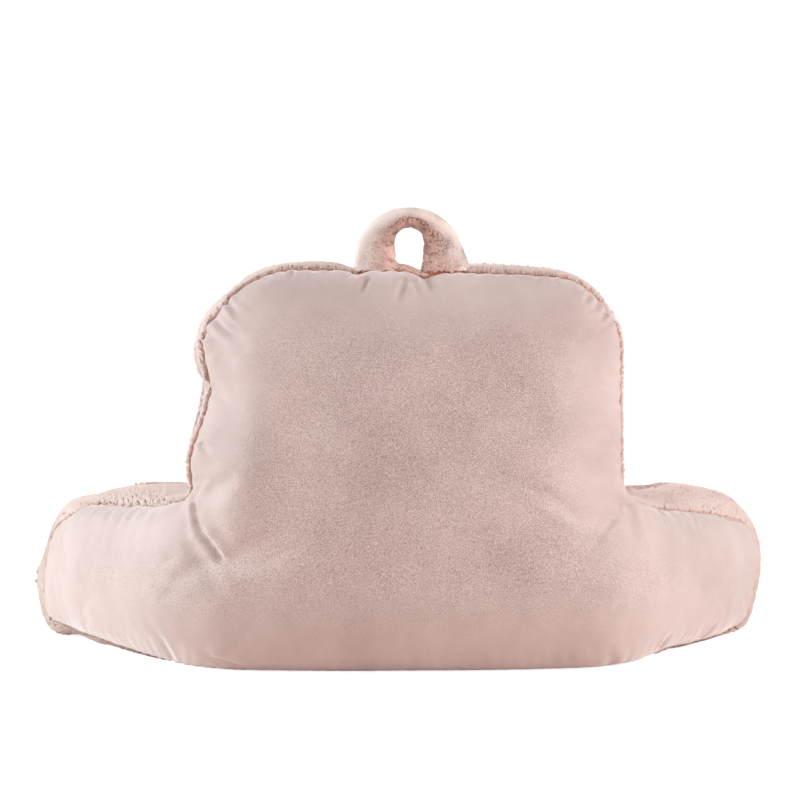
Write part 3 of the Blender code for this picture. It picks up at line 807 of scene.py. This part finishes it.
# name, what it grows on, look, where, and the seed of its random numbers
pilePlan = [
    ("pileEdge", cushion, edgePile, nearSeam, 11),
    ("pileSeamShade", cushion, seamShadePile, seamShadeBand, 16),
    ("pileBetween", cushion, betweenPile, betweenFeet, 17),
    ("pileFrontA", cushion, frontPile, frontLeft, 12),
    ("pileFrontB", cushion, frontPile, frontRight, 13),
    ("pileLoop", carryLoop, loopPile, outsideLoop, 14),
    ("pileLoopInner", carryLoop, curlPile, insideLoop, 15),
]
piles = [(growPile(*plan), plan[2]) for plan in pilePlan]


# materials
def startMaterial(material):
    material.use_nodes = True
    nodes = material.node_tree.nodes
    links = material.node_tree.links
    shader = nodes["Principled BSDF"]
    return nodes, links, shader


def setInputs(node, values):
    for name, value in values.items():
        node.inputs[name].default_value = value


def addNode(nodes, kind, values):
    node = nodes.new(kind)
    setInputs(node, values)
    return node


def rgb(red, green, blue):
    # colours are written as seen on a screen, 0 to 255
    shares = [channel / 255 for channel in (red, green, blue)]
    return tuple(((s + 0.055) / 1.055) ** 2.4 if s > 0.04 else s / 12.92 for s in shares) + (1.0,)


def addAttribute(nodes, label):
    node = nodes.new("ShaderNodeAttribute")
    node.attribute_name = label
    return node.outputs["Fac"]


def addNoise(nodes, links, scale, detail, roughness):
    where = nodes.new("ShaderNodeTexCoord")
    node = addNode(nodes, "ShaderNodeTexNoise", {"Scale": scale, "Detail": detail, "Roughness": roughness})
    links.new(where.outputs["Object"], node.inputs["Vector"])
    return node.outputs["Fac"]


def mixRange(nodes, links, factor, low, high, fromLow=0.0, fromHigh=1.0):
    values = {"From Min": fromLow, "From Max": fromHigh, "To Min": low, "To Max": high}
    node = addNode(nodes, "ShaderNodeMapRange", values)
    links.new(factor, node.inputs["Value"])
    return node.outputs["Result"]


def addMath(nodes, links, operation, *values):
    node = nodes.new("ShaderNodeMath")
    node.operation = operation
    for socket, value in zip(node.inputs, values):
        if isinstance(value, float):
            socket.default_value = value
        else:
            links.new(value, socket)
    return node.outputs[0]


def colourMix(nodes, links, factor, first, second):
    node = nodes.new("ShaderNodeMix")
    node.data_type = 'RGBA'
    links.new(factor, node.inputs["Factor"])
    node.inputs[6].default_value = first
    node.inputs[7].default_value = second
    return node.outputs[2]


def colourRamp(nodes, links, factor, stops):
    node = nodes.new("ShaderNodeValToRGB")
    marks = node.color_ramp.elements
    while len(marks) < len(stops):
        marks.new(0.5)
    for mark, (position, colour) in zip(marks, stops):
        mark.position = position
        mark.color = rgb(*colour)
    links.new(factor, node.inputs["Fac"])
    return node.outputs["Color"]


def addBump(nodes, links, height, shader, values):
    node = addNode(nodes, "ShaderNodeBump", values)
    links.new(height, node.inputs["Height"])
    links.new(node.outputs["Normal"], shader.inputs["Normal"])
    return node


napLook = {
    "light": (226, 202, 197), "dark": (158, 131, 125),   # the tips and the roots of its pebbles
    "grain": (980.0, 2.0, 0.6), "patches": (11.0, 3.0, 0.55),   # scale, detail and roughness
    "grainTone": (0.3, 3.2), "grainStrength": (0.10, 0.6),   # near the seams, and away from them
    "patchTone": (0.34, 0.66), "patchFrom": (0.3, 0.7),
    "bump": {"Distance": 0.8 * mm},
    "shader": {"Roughness": 0.6, "Specular IOR Level": 0.5, "Sheen Weight": 1.0, "Sheen Roughness": 0.5},
}


def napMaterial():
    material = bpy.data.materials.new("smooth nap")
    nodes, links, shader = startMaterial(material)
    field = addAttribute(nodes, "field")
    patches = addNoise(nodes, links, *napLook["patches"])
    grain = addNoise(nodes, links, *napLook["grain"])
    # the tone swings round the middle with soft brushed patches and with the pebbles of the nap
    tone = mixRange(nodes, links, patches, *napLook["patchTone"], *napLook["patchFrom"])
    swing = mixRange(nodes, links, field, *napLook["grainTone"])
    centred = addMath(nodes, links, 'SUBTRACT', grain, 0.5)
    pebbles = addMath(nodes, links, 'MULTIPLY_ADD', centred, swing, tone)
    colour = colourMix(nodes, links, pebbles, rgb(*napLook["dark"]), rgb(*napLook["light"]))
    links.new(colour, shader.inputs["Base Color"])
    bump = addBump(nodes, links, grain, shader, napLook["bump"])
    strength = mixRange(nodes, links, field, *napLook["grainStrength"])
    links.new(strength, bump.inputs["Strength"])
    setInputs(shader, napLook["shader"])
    return material


# every pile is darker towards its roots and lighter towards its tips: painted shade between the locks and
# painted light through the fibres; the curls' deep orange roots are painted shade inside the loop
pileColoursPaintedShade = {
    "light": {"root": (214, 177, 166), "middle": (220, 193, 185), "tip": (228, 209, 203), "vary": 0.10},
    "rim": {"root": (244, 204, 192), "middle": (252, 225, 216), "tip": (255, 238, 232), "vary": 0.08},
    "curls": {"root": (238, 116, 94), "middle": (252, 176, 156), "tip": (255, 224, 212), "vary": 0.34},
    # seam: painted shade of the groove
    "seam": {"root": (212, 132, 114), "middle": (228, 166, 151), "tip": (238, 196, 184), "vary": 0.30},
}
pileShader = {"Roughness": 0.85, "Specular IOR Level": 0.2, "Sheen Weight": 0.3, "Sheen Roughness": 0.5,
              "Sheen Tint": rgb(255, 226, 214)}


def pileMaterial(name, colours):
    material = bpy.data.materials.new("plush pile " + name)
    nodes, links, shader = startMaterial(material)
    along = addAttribute(nodes, "along")
    shade = addAttribute(nodes, "shade")
    # root to tip: painted shade at the roots, painted light at the tips, with each lock's random tone
    height = addMath(nodes, links, 'MULTIPLY_ADD', shade, colours["vary"], along)
    stops = [(0.0, colours["root"]), (0.5, colours["middle"]), (1.0, colours["tip"])]
    links.new(colourRamp(nodes, links, height, stops), shader.inputs["Base Color"])
    setInputs(shader, pileShader)
    return material


# the loop's backing is a deeper orange than the plush's: painted shade between its curls
backingLook = {
    "plush": ((206, 166, 154), (218, 186, 176)), "loop": ((222, 130, 108), (236, 158, 138)),
    "lumps": (220.0, 4.0, 0.6), "lumpsFrom": (0.3, 0.7),
    "bump": {"Strength": 0.8, "Distance": 2 * mm},
    "shader": {"Roughness": 0.95, "Specular IOR Level": 0.1},
}


def backingMaterial(material, colours):
    nodes, links, shader = startMaterial(material)
    lumps = addNoise(nodes, links, *backingLook["lumps"])
    stops = list(zip(backingLook["lumpsFrom"], colours))
    links.new(colourRamp(nodes, links, lumps, stops), shader.inputs["Base Color"])
    addBump(nodes, links, lumps, shader, backingLook["bump"])
    setInputs(shader, backingLook["shader"])


# deeper orange backing: painted shade inside the loop
loopBackingPaintedShade = bpy.data.materials.new("loop backing painted shade")
backingMaterial(plushBacking, backingLook["plush"])
backingMaterial(loopBackingPaintedShade, backingLook["loop"])
plushPiles = {name: pileMaterial(name, colours) for name, colours in pileColoursPaintedShade.items()}
backPanel.data.materials.append(napMaterial())
carryLoop.data.materials.append(loopBackingPaintedShade)
for pile, look in piles:
    pile.data.materials.append(plushPiles[look["colour"]])
for piece in (backPanel, cushion, carryLoop):
    piece.data.shade_smooth()
print("materials:", len(bpy.data.materials))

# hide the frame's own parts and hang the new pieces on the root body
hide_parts("back_panel")
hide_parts("cushion_body")
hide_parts("handle")
plushPieces = [cushion, carryLoop] + [pile for pile, _ in piles]
for piece in [backPanel] + plushPieces:
    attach(piece, "root")

# floor and backdrop in one sweep, soft lights and the camera
studio = {
    "cameraAt": (-0.1465, -2.6333, 0.420), "yaw": 3.0, "pitch": -3.3, "lens": 109.2,
    "floorGlow": 0.85, "world": 0.285, "air": (1.0, 0.87, 0.83, 1.0), "paper": (250, 231, 224),
    "sweep": {"front": -6.0, "depth": 3.2, "width": 7.0, "height": 4.0, "bend": 1.2, "steps": 12},
    # softboxes: where they stand, m, round the pillow and up, degrees; watts and colour
    "softboxes": [
        {"name": "left softbox", "round": -90, "up": 20, "watts": 45, "colour": (0.85, 0.98, 1.0)},
        {"name": "right softbox", "round": 75, "up": 20, "watts": 31, "colour": (0.96, 1, 1)},
        {"name": "half left fill", "round": -55, "up": 20, "watts": 3.5, "colour": (0.85, 0.98, 1.0)},
        {"name": "half right fill", "round": 45, "up": 25, "watts": 6, "colour": (0.98, 1, 0.99)},
        {"name": "top softbox", "round": 0, "up": 60, "watts": 11.5, "colour": (0.95, 0.99, 1)},
        {"name": "front softbox", "round": 180, "up": 15, "watts": 26, "colour": (0.98, 1, 1)},
    ],
    "boxSize": 1.2, "boxAway": 2.2, "boxAim": (0, 0, 0.2),
}
white = (1.0, 1.0, 1.0, 1.0)


def seenDirectly(nodes):
    # the paper and the air round it look white without lighting the cloth
    return nodes.new("ShaderNodeLightPath").outputs["Is Camera Ray"]


def paperSweep(front, depth, width, height, bend, steps):
    profile = [(front, 0.0)]
    for step in range(steps + 1):
        angle = pi / 2 * step / steps
        profile.append((depth - bend + bend * sin(angle), bend - bend * cos(angle)))
    profile.append((depth, height))
    verts = [(side * width, y, z) for y, z in profile for side in (-1, 1)]
    faces = [(2 * i, 2 * i + 1, 2 * i + 3, 2 * i + 2) for i in range(len(profile) - 1)]
    floor = newPiece("floor", verts, faces)
    floor.data.shade_smooth()
    material = bpy.data.materials.new("white paper")
    nodes, links, shader = startMaterial(material)
    setInputs(shader, {"Base Color": rgb(*studio["paper"]), "Roughness": 0.9, "Emission Color": white})
    glow = mixRange(nodes, links, seenDirectly(nodes), 0.0, studio["floorGlow"])
    links.new(glow, shader.inputs["Emission Strength"])
    floor.data.materials.append(material)


def softbox(name, around, up, watts, colour):
    light = bpy.data.lights.new(name, 'AREA')
    light.size = studio["boxSize"]
    light.energy = watts
    light.color = colour
    lamp = bpy.data.objects.new(name, light)
    ray = Vector((sin(around) * cos(up), -cos(around) * cos(up), sin(up)))
    lamp.location = Vector(studio["boxAim"]) + ray * studio["boxAway"]
    lamp.rotation_euler = ray.to_track_quat('Z', 'Y').to_euler()
    scene.collection.objects.link(lamp)


paperSweep(**studio["sweep"])
for box in studio["softboxes"]:
    softbox(box["name"], radians(box["round"]), radians(box["up"]), box["watts"], box["colour"])
world = bpy.data.worlds.new("studio")
scene.world = world
world.use_nodes = True
nodes, links = world.node_tree.nodes, world.node_tree.links
air = nodes["Background"]
links.new(mixRange(nodes, links, seenDirectly(nodes), studio["world"], 1.0), air.inputs["Strength"])
links.new(colourMix(nodes, links, seenDirectly(nodes), studio["air"], white), air.inputs["Color"])
scene.view_settings.view_transform = 'Standard'

lens = bpy.data.cameras.new("camera")
lens.lens = studio["lens"]
lens.sensor_width = 36
lens.clip_end = 50
camera = bpy.data.objects.new("camera", lens)
camera.location = studio["cameraAt"]
camera.rotation_euler = (radians(90 + studio["pitch"]), 0, radians(-studio["yaw"]))
scene.collection.objects.link(camera)
scene.camera = camera
print("studio:", len(studio["softboxes"]), "softboxes, paper and camera")
